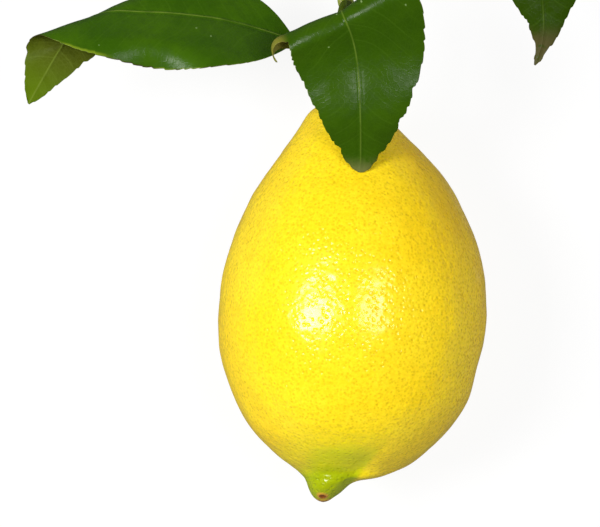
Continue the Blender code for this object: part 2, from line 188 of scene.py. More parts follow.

# One entry a leaf. Sides are -1 and 1, distances run from the base, and fractions are of the length.
# half_widths: the greatest on each side; outline: shares of them.
# lobes: side, fraction, spread and extra width. lean: the midrib's lean in the blade's plane, at fractions.
# folds: how steeply each half rises from the midrib, at the base and the tip; cup: how far it arches down.
# swell, wave: height, length and start or phase of a wave along the whole blade, and along its margins.
# rolls: across the blade: distance from the anchor, slant, radius, angle, and the end that turns.
# curl: where side 1 starts to turn under, from the midrib, and its radius.
# droop: side, distance, length, share of the half width where it starts, and depth of a sagging margin.
# lit_margin: side and two distances between which the margin is bright.
# anchor: the distance placed at "at", where heading, roll and pitch turn the blade.
# root, root_direction: where and which way the stalk leaves the shoot.
# notches: distance, side and depth of the margin's larger nicks.
# dry_tip: the dried fraction; rib_shows: how clear the midrib is, at the base and the tip.
# backlight: the underside's glow toward the tip; deep: how dark the green is, partly the leaf's own darker
# green and partly painted shade.
LEAVES = {
    "leaf_front": {
        "length": 58.0,
        "half_widths": (17.1, 15.7),
        "outline": BLADE_BASE + ((0.66, 0.755), (0.80, 0.54), (0.91, 0.33), (0.97, 0.18), (0.99, 0.11),
                                 (1, 0.04)),
        "lean": ((0, -46), (0.28, -42), (0.42, -22), (0.58, -7), (0.8, -2), (1, 0)),
        "folds": (16.0, 4.0),
        "cup": (2.5, 3.0),
        "swell": (0.9, 24.0, 38.0),
        "wave": (0.35, 22.0, 0.3),
        "rolls": ((-35.5, 28.5, 2.0, 120.0, "base"),),
        "lobes": ((1, 0.27, 0.052, 6.6), (1, 0.40, 0.09, -1.9)),
        "curl": (14.7, 3.2),
        "anchor": 58.0,
        "at": (1.6, 26.5, 52.5),
        "heading": -90.5,
        "roll": 0.0,
        "pitch": -17.0,
        "root": (-1.3, 66.0, 31.8),
        "root_direction": (-0.35, 0.1, 0.93),
        "notches": ((53.6, -1, 0.7), (45.6, -1, 0.8), (39.0, -1, 0.7), (52.0, 1, 0.8), (43.2, 1, 0.4)),
        "seed": 3,
        "tooth_depth": 0.46,
        "dry_tip": 0.05,
        "rib_shows": (1.0, 0.5),
        "backlight": 0.15,
        "deep": 0.40,
    },
    "leaf_left": {
        "length": 73.8,
        "half_widths": (18.1, 13.8),
        "outline": BLADE_BASE + ((0.66, 0.72), (0.80, 0.46), (0.91, 0.24), (0.975, 0.10), (1, 0.02)),
        "lean": ((0, 0), (0.54, 0), (0.75, 4), (1, 6)),
        "folds": (10.0, 4.0),
        "cup": (0.5, 0.5),
        "wave": (0.35, 22.0, 0.3),
        "rolls": ((39.8, -58.5, 4.0, 159.0, "tip"), (0.0, 0.0, 68.0, 28.0, "tip")),
        "lobes": ((-1, 0.44, 0.15, -3.6), (1, 0.50, 0.13, -2.0)),
        "droop": (-1, 33.0, 11.0, 0.62, 4.2),
        "lit_margin": (-1, 41.0, 54.0),
        "anchor": 0.0,
        "at": (-13.25, 57.15, 38.0),
        "heading": 159.4,
        "roll": -42.0,
        "pitch": 23.0,
        "root": (-1.7, 52.6, 31.0),
        "root_direction": (-0.9, 0.3, 0.3),
        "notches": ((63.0, -1, 0.5), (58.0, 1, 0.4)),
        "seed": 7,
        "tooth_depth": 0.28,
        "dry_tip": 0.0,
        "rib_shows": (1.0, 0.9),
        "backlight": 1.0,
        "deep": 0.0,
    },
    "leaf_right": {
        "length": 60.0,
        "half_widths": (17.0, 13.9),
        "outline": BLADE_BASE + ((0.64, 0.72), (0.745, 0.48), (0.823, 0.31), (0.90, 0.165), (0.923, 0.125),
                                 (0.948, 0.085), (0.98, 0.05), (1, 0.012)),
        "lean": ((0, -52), (0.25, -44), (0.42, -28), (0.58, -12), (0.745, -5), (0.85, 0), (0.92, 12),
                 (1, 26)),
        "folds": (12.0, 4.0),
        "cup": (1.6, 1.6),
        "wave": (0.35, 22.0, 1.3),
        "rolls": ((-25.0, 0.0, 14.0, 75.0, "base"),),
        "anchor": 60.0,
        "at": (41.2, 51.3, 44.0),
        "heading": -89.5,
        "roll": 0.0,
        "pitch": -14.0,
        "root": (14.9, 97.4, 31.9),
        "root_direction": (0.75, -0.1, 0.4),
        "notches": ((55.3, -1, 0.9), (55.3, 1, 0.6), (49.2, 1, 0.5)),
        "seed": 11,
        "tooth_depth": 0.40,
        "dry_tip": 0.16,
        "rib_shows": (0.35, 0.25),
        "backlight": 0.2,
        "deep": 1.0,
    },
}

TOOTH_SPACING = 2.3
VEIN_SPACING = 4.8
VEIN_SLOPE = 0.62
VEIN_CURVE = 0.016

# The camera's place over the fruit's middle and the width of what it sees there, in metres.
CAMERA_OFFSET = (-0.01205, 0.00865, 0.620)
FIELD_WIDTH = 0.1388
SENSOR_WIDTH = 36.0
# Each softbox: its direction from the fruit, its distance and size in metres, and its power in watts.
SOFTBOXES = {
    "key": ((-0.54, 0.060, 0.86), 0.9, (0.32, 0.28), 8.55),
    "second": ((0.28, 0.04, 0.93), 0.9, (0.30, 0.30), 4.4),
}

WHITE = (1.0, 1.0, 1.0, 1.0)
WORLD_GLOW = 0.04
FLOOR_SIZE = 6.0
FLOOR_DROP = 0.0001
FLOOR_COLOUR = (0.085, 0.085, 0.086)
# The floor glows for the fruit, a little less for the camera, and faintly in reflections.
FLOOR_GLOW = 1.08
FLOOR_SEEN_GLOW = 0.90
FLOOR_MIRRORED_SHARE = 0.09


# -------------------------------- shape helpers

def smooth_step(value, low, high):
    """0 below low, 1 above high, and a smooth rise between them."""
    t = np.clip((np.asarray(value, float) - low) / (high - low), 0.0, 1.0)
    return t * t * (3 - 2 * t)


def stretch(value, start, full, fading, end):
    """0 before the start and after the end, and 1 from full to fading."""
    return smooth_step(value, start, full) * (1 - smooth_step(value, fading, end))


def bell(value, width):
    return np.exp(-((np.asarray(value, float) / width) ** 2))


def cubic_weights(t):
    """How much a cubic takes of its start, its slope there, its end and its slope there."""
    return 2 * t**3 - 3 * t**2 + 1, t**3 - 2 * t**2 + t, 3 * t**2 - 2 * t**3, t**3 - t**2


def unit(vectors):
    vectors = np.asarray(vectors, float)
    return vectors / np.linalg.norm(vectors, axis=-1, keepdims=True)


def smooth_curve(knots, values, places):
    """Values at the places, on cubics that pass through every knot; a value may be a row of numbers."""
    knots = np.asarray(knots, float)
    values = np.asarray(values, float)
    places = np.asarray(places, float)
    slopes = np.gradient(values, knots, axis=0)
    first = np.clip(np.searchsorted(knots, places, side="right") - 1, 0, len(knots) - 2)
    span = knots[first + 1] - knots[first]
    t = (places - knots[first]) / span
    if values.ndim > 1:
        span = span[:, None]
        t = t[:, None]
    start, leave, end, arrive = cubic_weights(t)
    before = start * values[first] + leave * span * slopes[first]
    return before + end * values[first + 1] + arrive * span * slopes[first + 1]


def along(points):
    """How far each point of a route lies from its start."""
    steps = np.linalg.norm(np.diff(points, axis=0), axis=1)
    return np.concatenate(([0.0], np.cumsum(steps)))


def noise_at(points, size, seed):
    """Smooth noise from about -1 to 1, with features of that size."""
    flat = np.asarray(points, float).reshape(-1, 3) / size + seed * 7.31
    values = [noise.noise(p) for p in flat.tolist()]
    return np.array(values).reshape(np.shape(points)[:-1])


def cells_at(points, size, seed):
    """Distance to the nearest of scattered centres that lie about one size apart, in sizes."""
    flat = np.asarray(points, float).reshape(-1, 3) / size + seed * 7.31
    values = [noise.voronoi(p)[0][0] for p in flat.tolist()]
    return np.array(values).reshape(np.shape(points)[:-1])


def full_turn(count):
    """Evenly spaced angles once round, in radians."""
    return np.linspace(0.0, 2 * math.pi, count, endpoint=False)


def nearest_point(points, place):
    return int(np.argmin(np.linalg.norm(points - np.array(place), axis=1)))


def grid_normals(rings):
    """Outward normals of rings of points that close on themselves."""
    around = np.roll(rings, -1, axis=1) - np.roll(rings, 1, axis=1)
    onward = np.gradient(rings, axis=0)
    normals = unit(np.cross(around, onward))
    outward = rings - rings.mean(axis=1, keepdims=True)
    return normals * np.sign((normals * outward).sum())


def ring_object(name, rings, material, marks=None):
    """A closed skin over rings of points, with named values at its points for the material to read."""
    rings = np.asarray(rings, float)
    count, sides = rings.shape[:2]
    poles = np.stack((rings[0].mean(axis=0), rings[-1].mean(axis=0)))
    points = np.concatenate((rings.reshape(-1, 3), poles))
    points = (points - (REST_MIDDLE[0], REST_MIDDLE[1], 0.0)) * MM
    index = np.arange(count * sides).reshape(count, sides)
    onward = np.roll(index, -1, axis=1)
    quads = np.stack((index[:-1], onward[:-1], onward[1:], index[1:]), axis=-1).reshape(-1, 4)
    start = count * sides
    fans = [(b, a, start) for a, b in zip(index[0].tolist(), onward[0].tolist())]
    fans += [(a, b, start + 1) for a, b in zip(index[-1].tolist(), onward[-1].tolist())]
    data = bpy.data.meshes.new(name)
    data.from_pydata(points.tolist(), [], quads.tolist() + fans)
    mesh = bmesh.new()
    mesh.from_mesh(data)
    bmesh.ops.recalc_face_normals(mesh, faces=mesh.faces)
    mesh.to_mesh(data)
    mesh.free()
    data.shade_smooth()
    for mark, values in (marks or {}).items():
        values = np.asarray(values, float)
        ends = np.stack((values[0].mean(axis=0), values[-1].mean(axis=0)))
        kind, key = ("FLOAT_VECTOR", "vector") if values.ndim == 3 else ("FLOAT", "value")
        whole = np.concatenate((values.reshape((-1,) + values.shape[2:]), ends))
        layer = data.attributes.new(mark, kind, "POINT")
        layer.data.foreach_set(key, whole.astype(np.float32).ravel())
    data.materials.append(material)
    return new_object(name, data)


def new_object(name, data):
    item = bpy.data.objects.new(name, data)
    bpy.context.collection.objects.link(item)
    return item


def finish_piece(item, slot, *nodes):
    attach(item, "root")
    if nodes:
        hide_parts(*nodes)


# -------------------------------- material helpers

def new_material(name):
    """A node material; gives it, its nodes, its shader and the place on the object."""
    material = bpy.data.materials.new(name)
    material.use_nodes = True
    tree = material.node_tree
    place = add_node(tree, "ShaderNodeTexCoord").outputs["Object"]
    return material, tree, tree.nodes["Principled BSDF"], place


def add_node(tree, kind, inputs=None, **settings):
    made = tree.nodes.new(kind)
    for key, value in settings.items():
        setattr(made, key, value)
    for key, value in (inputs or {}).items():
        if isinstance(value, bpy.types.NodeSocket):
            tree.links.new(value, made.inputs[key])
        else:
            made.inputs[key].default_value = value
    return made


def read_mark(tree, name, output="Fac"):
    return add_node(tree, "ShaderNodeAttribute", attribute_name=name).outputs[output]


def calculate(tree, operation, first, second=0.0, clamp=False):
    made = add_node(tree, "ShaderNodeMath", {0: first, 1: second}, operation=operation, use_clamp=clamp)
    return made.outputs[0]


def times(tree, first, second):
    return calculate(tree, "MULTIPLY", first, second)


def rescale(tree, value, low, high, to_low=0.0, to_high=1.0):
    """A smooth change from to_low to to_high as the value goes from low to high."""
    inputs = {"Value": value, "From Min": low, "From Max": high, "To Min": to_low, "To Max": to_high}
    return add_node(tree, "ShaderNodeMapRange", inputs, interpolation_type="SMOOTHSTEP").outputs["Result"]


def blend_colours(tree, share, first, second):
    """The first colour at share 0 and the second at share 1."""
    first, second = ((*shade, 1.0) if isinstance(shade, tuple) else shade for shade in (first, second))
    inputs = {0: share, 6: first, 7: second}
    return add_node(tree, "ShaderNodeMix", inputs, data_type="RGBA", clamp_factor=True).outputs[2]


def lay_over(tree, colour, layers):
    """Lays named layers of colour over one another in turn, each by its share."""
    for share, layer in layers.values():
        colour = blend_colours(tree, share, colour, layer)
    return colour


def noise_node(tree, place, size, detail=2.0, roughness=0.5):
    """Noise with features of a size in metres."""
    inputs = {"Vector": place, "Scale": 1.0 / size, "Detail": detail, "Roughness": roughness}
    return add_node(tree, "ShaderNodeTexNoise", inputs).outputs["Fac"]


def cell_node(tree, place, size, full, gone, randomness=1.0, feature="F1"):
    """Spots in cells of a size in metres, or the cells' edges: 1 up to the distance full, 0 beyond gone."""
    inputs = {"Vector": place, "Scale": 1.0 / size, "Randomness": randomness}
    distance = add_node(tree, "ShaderNodeTexVoronoi", inputs, feature=feature).outputs["Distance"]
    return rescale(tree, distance, full, gone, 1.0, 0.0)


def bump_node(tree, height, depth, normal=None, invert=False):
    """Relief of a depth in metres where the height goes from 0 to 1."""
    inputs = {"Height": height, "Distance": depth, "Strength": 1.0}
    if normal is not None:
        inputs["Normal"] = normal
    return add_node(tree, "ShaderNodeBump", inputs, invert=invert).outputs["Normal"]


def connect(tree, shader, **sockets):
    for key, value in sockets.items():
        tree.links.new(value, shader.inputs[key.replace("_", " ")])


def set_constants(shader, values):
    for key, value in values.items():
        shader.inputs[key].default_value = value


# -------------------------------- fruit

def peel_material():
    material, tree, shader, place = new_material("lemon_peel_looks")
    warp = add_node(tree, "ShaderNodeTexNoise", {"Vector": place, "Scale": 500.0, "Detail": 1.0})
    shift = add_node(tree, "ShaderNodeVectorMath", {0: warp.outputs["Color"], 3: 0.0009}, operation="SCALE")
    bent = add_node(tree, "ShaderNodeVectorMath", {0: place, 1: shift.outputs[0]}).outputs[0]
    pores = cell_node(tree, bent, 0.00115, 0.04, 0.50, 0.9)
    small_pores = cell_node(tree, place, 0.00078, 0.12, 0.52)
    dimples = cell_node(tree, bent, 0.0021, 0.05, 0.60, 0.9)
    patches = noise_node(tree, place, 0.016, 3.0)
    mottle = noise_node(tree, place, 0.0030, 3.0, 0.6)
    speckle = noise_node(tree, place, 0.00068, 2.0, 0.5)
    grain = noise_node(tree, place, 0.0005, 2.0)
    green = read_mark(tree, "green")
    coarse_shade_and_glints = read_mark(tree, "coarse_shade_and_glints")
    scar = read_mark(tree, "scar")
    # Pale tan mottling along the right edge: partly russet, partly a painted reflection.
    russet_and_reflection_skin = times(tree, read_mark(tree, "russet_and_reflection"), rescale(tree, mottle, 0.38, 0.52))
    russet_and_reflection_skin = times(tree, russet_and_reflection_skin, rescale(tree, small_pores, 0.1, 0.8, 1.0, 0.35))
    # Pale flecks on the right side: painted glints.
    painted_glints = times(tree, coarse_shade_and_glints, rescale(tree, grain, 0.45, 0.62, 0.0, 0.55))

    pore_colour = blend_colours(tree, coarse_shade_and_glints, (0.43, 0.29, 0.002), (0.58, 0.28, 0.001))
    warm = rescale(tree, patches, 0.35, 0.65)
    colour = blend_colours(tree, warm, (0.95, 0.71, 0.019), (0.94, 0.66, 0.013))
    colour = lay_over(tree, colour, {
        "mottling": (rescale(tree, mottle, 0.40, 0.72, 0.0, 0.28), (0.84, 0.58, 0.006)),
        "speckles": (rescale(tree, speckle, 0.42, 0.60, 0.0, 0.32), (0.68, 0.50, 0.004)),
        "pale flecks": (painted_glints, (0.99, 0.72, 0.10)),
        # On the right side the pores are darker and more orange: partly their own colour, partly painted
        # shade.
        "small pores": (times(tree, small_pores, rescale(tree, coarse_shade_and_glints, 0.0, 1.0, 0.36, 0.80)), pore_colour),
        "pores": (times(tree, pores, rescale(tree, coarse_shade_and_glints, 0.0, 1.0, 0.12, 0.34)), pore_colour),
        # Painted shade: the fruit's upper right side darker and more orange.
        "ripe side": (read_mark(tree, "upper_right_shade"), (0.70, 0.42, 0.002)),
        "yellow-green wash": (read_mark(tree, "wash"), (0.62, 0.61, 0.006)),
        "green nipple": (green, (0.32, 0.385, 0.003)),
        # Partly russet, partly a painted reflection at the grazing edge.
        "russet_and_reflection": (russet_and_reflection_skin, (0.80, 0.57, 0.15)),
        "nicks": (read_mark(tree, "nick"), (0.40, 0.17, 0.03)),
        "scar's rim": (read_mark(tree, "ring"), (0.58, 0.31, 0.04)),
        "scar": (scar, (0.21, 0.058, 0.005)),
    })

    dull = rescale(tree, mottle, 0.3, 0.7, 0.17, 0.23)
    dull = calculate(tree, "ADD", dull, times(tree, russet_and_reflection_skin, 0.25))
    dull = calculate(tree, "ADD", dull, times(tree, scar, 0.3), clamp=True)
    pore_depth = rescale(tree, green, 0.0, 1.0, 0.000078, 0.000130)
    normal = bump_node(tree, grain, 0.000003)
    normal = bump_node(tree, small_pores, 0.000007, normal, invert=True)
    normal = bump_node(tree, pores, pore_depth, normal, invert=True)
    normal = bump_node(tree, dimples, 0.000058, normal, invert=True)
    connect(tree, shader, Base_Color=colour, Roughness=dull, Normal=normal)
    set_constants(shader, {"IOR": 1.45, "Specular IOR Level": 0.36, "Subsurface Weight": 0.08,
                           "Subsurface Radius": (1.0, 0.55, 0.08), "Subsurface Scale": 0.0012})
    return material


def fruit_rings():
    """Rings of points on the smooth loft through the fruit's sections, and the turns of a ring's points."""
    rows = np.array(FRUIT_SECTIONS)
    knots = along(rows[:, [0, 2, 3]])
    steps = np.linspace(0.0, 1.0, FRUIT_RINGS + 2)
    places = knots[-1] * (0.5 * steps + 0.25 * (1 - np.cos(math.pi * steps)))
    lofted = smooth_curve(knots, rows, places)
    for _ in range(3):
        lofted[1:-1] = 0.25 * lofted[:-2] + 0.5 * lofted[1:-1] + 0.25 * lofted[2:]
    lofted = lofted[1:-1]
    turns = full_turn(FRUIT_SIDES)
    y, left, right, low, high = (column[:, None] for column in lofted.T)
    x = (left + right) / 2 + (right - left) / 2 * np.cos(turns)
    z = FRUIT_AXIS_HEIGHT + (low + high) / 2 + (high - low) / 2 * np.sin(turns)
    y = np.broadcast_to(y, x.shape)
    return np.stack((x, y, z), axis=-1), turns


def from_crease(rings):
    """Seen from above: the distance from the crease, the share along it, and how far right of it."""
    start, end = np.array(CREASE_START), np.array(CREASE_END)
    way = end - start
    flat = rings[..., :2]
    share = np.clip(((flat - start) @ way) / (way @ way), 0.0, 1.0)
    nearest = start + share[..., None] * way
    right_of = ((flat - start) @ np.array((way[1], -way[0]))) / np.linalg.norm(way)
    return np.linalg.norm(flat - nearest, axis=-1), share, right_of


def upper_side(rings):
    return smooth_step(rings[..., 2], FRUIT_AXIS_HEIGHT - 6, FRUIT_AXIS_HEIGHT + 1)


def from_scar(rings):
    return np.linalg.norm(rings - np.array(STYLE_SCAR), axis=-1)


def skin_relief(rings):
    """How far the skin stands out from the loft, with none where the calyx sits."""
    x, y = rings[..., 0], rings[..., 1]
    relief = sum(height * noise_at(rings, size, seed) for height, size, seed in SKIN_SWELLS)
    relief += DIMPLE_DEPTH * (smooth_step(cells_at(rings, DIMPLE_SPACING, 4), 0.08, 0.55) - 1.0)
    crease, share, right_of = from_crease(rings)
    furrow = bell(crease, CREASE_WIDTH) * (1 - smooth_step(share, 0.30, 1.0))
    shoulder = bell(right_of - SHOULDER_OFFSET, SHOULDER_WIDTH) * stretch(y, *SHOULDER_STRETCH)
    neck = bell(x - NECK_MIDDLE[0], NECK_REACH[0]) * bell(y - NECK_MIDDLE[1], NECK_REACH[1])
    nearby = SHOULDER_HEIGHT * shoulder - CREASE_DEPTH * furrow + NECK_HEIGHT * neck
    relief += nearby * upper_side(rings)
    tip = from_scar(rings)
    relief += -0.20 * bell(tip, SCAR_RADIUS) + 0.16 * bell(tip - SCAR_RIM_RADIUS, 0.3)
    return relief * (1.0 - smooth_step(y, STEM_END[1] - 1.0, STEM_END[1] - 0.1))


def turn_from(turns, middle):
    """Each turn's angle from the middle one, from -pi to pi."""
    return np.angle(np.exp(1j * (turns - middle)))[None, :]


def side_mark(name, turns, y):
    turn, reach, ends = SIDE_MARKS[name]
    return bell(turn_from(turns, turn), reach) * stretch(y, *ends)


def peel_marks(rings, turns):
    x, y = rings[..., 0], rings[..., 1]
    blotch = noise_at(rings, 5.0, 5)
    beyond_crease = smooth_step(from_crease(rings)[2], 0.2, 1.6) * upper_side(rings)
    green = smooth_step(0.5 * blotch - y - 0.25 * np.abs(x - NECK_MIDDLE[0]), GREEN_FROM, GREEN_FULL)
    away = np.linalg.norm((rings - np.array(WASH_MIDDLE)) / np.array(WASH_REACH), axis=-1)
    away = away + 0.16 * blotch + 0.12 * noise_at(rings, 1.9, 9)
    wash = np.maximum(0.95 * (1 - smooth_step(away, 0.62, 1.45)), 0.35 * (1 - smooth_step(away, 1.1, 2.2)))
    # Painted shade on the upper right side, strongest about the middle of the fruit's length.
    upper_right_shade = 0.75 * bell(turn_from(turns, SHADE_PATCH_TURN), SHADE_PATCH_REACH) * bell(y - SHADE_PATCH_MIDDLE, SHADE_PATCH_LENGTH)
    rough = noise_at(rings, 4.0, 6) + 0.4 * noise_at(rings, 1.2, 10)
    tip = from_scar(rings)
    marks = {
        "green": green * (1 - 0.85 * beyond_crease),
        "wash": wash * (1 - 0.85 * beyond_crease),
        "upper_right_shade": upper_right_shade * (0.85 + 0.3 * blotch),
        "coarse_shade_and_glints": side_mark("coarse_shade_and_glints", turns, y) * (0.8 + 0.4 * blotch),
        "russet_and_reflection": 0.7 * side_mark("russet_and_reflection", turns, y) * smooth_step(rough, -0.35, 0.25),
        "nick": side_mark("nick", turns, y) * smooth_step(noise_at(rings, 1.1, 8), 0.05, 0.35),
        "scar": np.maximum(1 - smooth_step(tip, 0.65, 1.05), 0.75 * smooth_step(-y, 47.9, 48.4)),
        "ring": np.maximum(1 - smooth_step(tip, 0.95, 1.7), 0.85 * smooth_step(-y, 47.3, 48.1)),
    }
    return {name: np.clip(values, 0, 1) for name, values in marks.items()}


def build_fruit():
    rings, turns = fruit_rings()
    skin = rings + grid_normals(rings) * skin_relief(rings)[..., None]
    skin[..., 2] = np.maximum(skin[..., 2], 0.0)
    fruit = ring_object("lemon", skin, peel_material(), peel_marks(rings, turns))
    finish_piece(fruit, "lemon_peel", "fruit")


# -------------------------------- calyx

def calyx_material():
    material, tree, shader, place = new_material("calyx_looks")
    blotches = noise_node(tree, place, 0.0016, 4.0, 0.6)
    fibres = noise_node(tree, place, 0.0004, 3.0)
    paler = rescale(tree, blotches, 0.35, 0.65)
    green = blend_colours(tree, paler, (0.12, 0.15, 0.02), (0.22, 0.24, 0.05))
    colour = blend_colours(tree, read_mark(tree, "edge"), green, (0.20, 0.115, 0.04))
    dull = rescale(tree, blotches, 0.3, 0.7, 0.6, 0.85)
    normal = bump_node(tree, fibres, 0.00005)
    connect(tree, shader, Base_Color=colour, Roughness=dull, Normal=normal)
    return material


def build_calyx():
    """A thick lobed star pressed on the stem end, open in the middle where the shoot leaves it."""
    turns = full_turn(CALYX_SIDES)
    point = 0.5 + 0.5 * np.cos(CALYX_LOBES * turns)
    edge = CALYX_RADIUS - CALYX_NOTCH + (CALYX_LOBE_LENGTH + CALYX_NOTCH) * point**0.8
    edge = edge + 0.18 * np.sin(2 * turns + 0.7) + 0.08 * np.sin(11 * turns)
    outward = np.linspace(0.05, 1.0, CALYX_UNDER_RINGS)
    fractions = np.concatenate((outward, np.linspace(1.0, 0.05, CALYX_OVER_RINGS)))
    over = np.arange(len(fractions)) >= CALYX_UNDER_RINGS
    rings = []
    rims = []
    for fraction, upper in zip(fractions, over):
        radius = fraction * edge
        y = STEM_END[1] + 0.25 - CALYX_ARCHING * radius**2
        if upper:
            dome = 1 - smooth_step(radius, 1.2, 4.2)
            y = y + CALYX_EDGE_THICKNESS + (CALYX_THICKNESS - CALYX_EDGE_THICKNESS) * dome
            y = y + 0.10 * point * bell(fraction - 0.75, 0.3)
        x = STEM_END[0] + radius * np.cos(turns)
        z = STEM_END[2] + radius * np.sin(turns)
        rings.append(np.stack((x, y, z), axis=-1))
        rims.append(np.full(len(turns), smooth_step(fraction, 0.72, 1.0)))
    rings = np.array(rings)
    rough = noise_at(rings, 0.9, 21)
    rings[..., 1] += np.where(over, 0.10, 0.0)[:, None] * rough
    calyx = ring_object("calyx_star", rings, calyx_material(), {"edge": np.array(rims)})
    finish_piece(calyx, "calyx_green", "calyx")


# -------------------------------- shoot and buds

def shoot_material():
    material, tree, shader, place = new_material("shoot_looks")
    blotches = noise_node(tree, place, 0.0040, 3.0, 0.6)
    grain = noise_node(tree, place, 0.0005, 3.0)
    specks = cell_node(tree, place, 0.0016, 0.10, 0.24)
    paler = rescale(tree, blotches, 0.35, 0.65)
    green = blend_colours(tree, paler, (0.20, 0.30, 0.015), (0.34, 0.40, 0.02))
    colour = lay_over(tree, green, {
        "specks": (times(tree, specks, 0.5), (0.42, 0.40, 0.12)),
        "bark": (read_mark(tree, "bark"), (0.20, 0.15, 0.05)),
        "cut wood": (read_mark(tree, "cut"), (0.55, 0.50, 0.26)),
    })
    dull = rescale(tree, blotches, 0.3, 0.7, 0.42, 0.60)
    normal = bump_node(tree, grain, 0.00003)
    normal = bump_node(tree, specks, 0.00004, normal)
    connect(tree, shader, Base_Color=colour, Roughness=dull, Normal=normal)
    return material


def twig_route():
    points = np.array(TWIG_ROUTE)
    knots = along(points)
    places = np.linspace(0.0, knots[-1], TWIG_RINGS)
    return places, smooth_curve(knots, points, places)


def twig_radii(places, route):
    """Thicker at the calyx and at each leaf's node."""
    radii = TWIG_RADIUS + TWIG_FLARE * np.exp(-np.maximum(places - 1.2, 0.0) / 1.2)
    for leaf in LEAVES.values():
        nearest = nearest_point(route, leaf["root"])
        radii = radii + TWIG_NODE_SWELLING * bell(places - places[nearest], TWIG_NODE_LENGTH)
    return radii


def carried_frames(route):
    """A tangent and two directions across it at each point, carried along without twisting."""
    tangents = unit(np.gradient(route, axis=0))
    side = np.array((0.0, 0.0, 1.0))
    sides = []
    for tangent in tangents:
        side = unit(side - tangent * np.dot(side, tangent))
        sides.append(side)
    sides = np.array(sides)
    return tangents, sides, np.cross(tangents, sides)


def build_twig(material):
    places, route = twig_route()
    tangents, sides, across = carried_frames(route)
    radii = twig_radii(places, route)
    turns = full_turn(TWIG_SIDES)
    twist = places[:, None] / 9.0
    ribs = 1.0 + 0.045 * np.cos(3 * turns + twist) + 0.02 * np.cos(7 * turns)
    outward = np.cos(turns)[:, None] * sides[:, None] + np.sin(turns)[:, None] * across[:, None]
    rings = route[:, None] + outward * (radii[:, None] * ribs)[..., None]
    rough = 0.05 * noise_at(rings, 1.6, 31) + 0.03 * noise_at(rings, 0.7, 32)
    rings = rings + outward * rough[..., None]
    end = rings[-1]
    centre = route[-1]
    cap = [centre + (end - centre) * share - tangents[-1] * sunk for share, sunk in TWIG_CUT]
    rings = np.concatenate((rings, np.array(cap)))
    count = len(places)
    bark = np.zeros(rings.shape[:2])
    bark[:count] = 0.75 * smooth_step(noise_at(rings[:count], 6.0, 33), 0.05, 0.45)
    bark[count - 4:count] = 0.8
    cut = np.zeros(rings.shape[:2])
    cut[count:] = 1.0
    cut[count + 3:] = 0.7
    twig = ring_object("shoot", rings, material, {"bark": bark, "cut": cut})
    finish_piece(twig, "green_shoot", "twig")


def build_buds(material):
    """A small pointed bud over each leaf's root on the shoot."""
    places, route = twig_route()
    tangents, _, _ = carried_frames(route)
    radii = twig_radii(places, route)
    turns = full_turn(BUD_SIDES)
    for number, (name, leaf) in enumerate(LEAVES.items()):
        nearest = nearest_point(route, leaf["root"])
        tangent = tangents[nearest]
        outward = np.array(leaf["root"]) - route[nearest]
        outward = unit(outward - tangent * np.dot(outward, tangent))
        base = route[nearest] + outward * (radii[nearest] - 0.25) + tangent * BUD_ABOVE_ROOT
        way = unit(0.75 * tangent + 0.66 * outward)
        side = unit(np.cross(way, outward))
        up = np.cross(side, way)
        ribs = 1 - 0.06 * np.cos(3 * turns + number)
        rings = []
        for share in np.linspace(0.0, 0.97, BUD_RINGS):
            girth = BUD_GIRTH * (1 - share) ** 0.55 * (0.75 + 0.9 * share) * ribs
            middle = base + way * (BUD_LENGTH * share) + up * (0.35 * share**2)
            outline = np.cos(turns)[:, None] * side + np.sin(turns)[:, None] * up
            rings.append(middle + girth[:, None] * outline)
        rings = np.array(rings)
        rings += 0.05 * noise_at(rings, 0.5, 41 + number)[..., None] * up
        none = np.zeros(rings.shape[:2])
        bark = none + 0.8 * smooth_step(np.linspace(0, 1, len(rings)), 0.75, 1.0)[:, None]
        bud = ring_object("bud_" + name, rings, material, {"bark": bark, "cut": none})
        finish_piece(bud, "green_shoot")


# -------------------------------- leaves

def vein_lines(tree, phase, width, shown):
    """Lines where the phase is half past a whole number."""
    off = calculate(tree, "SUBTRACT", calculate(tree, "FRACT", phase), 0.5)
    return rescale(tree, calculate(tree, "ABSOLUTE", off), 0.0, width, shown, 0.0)


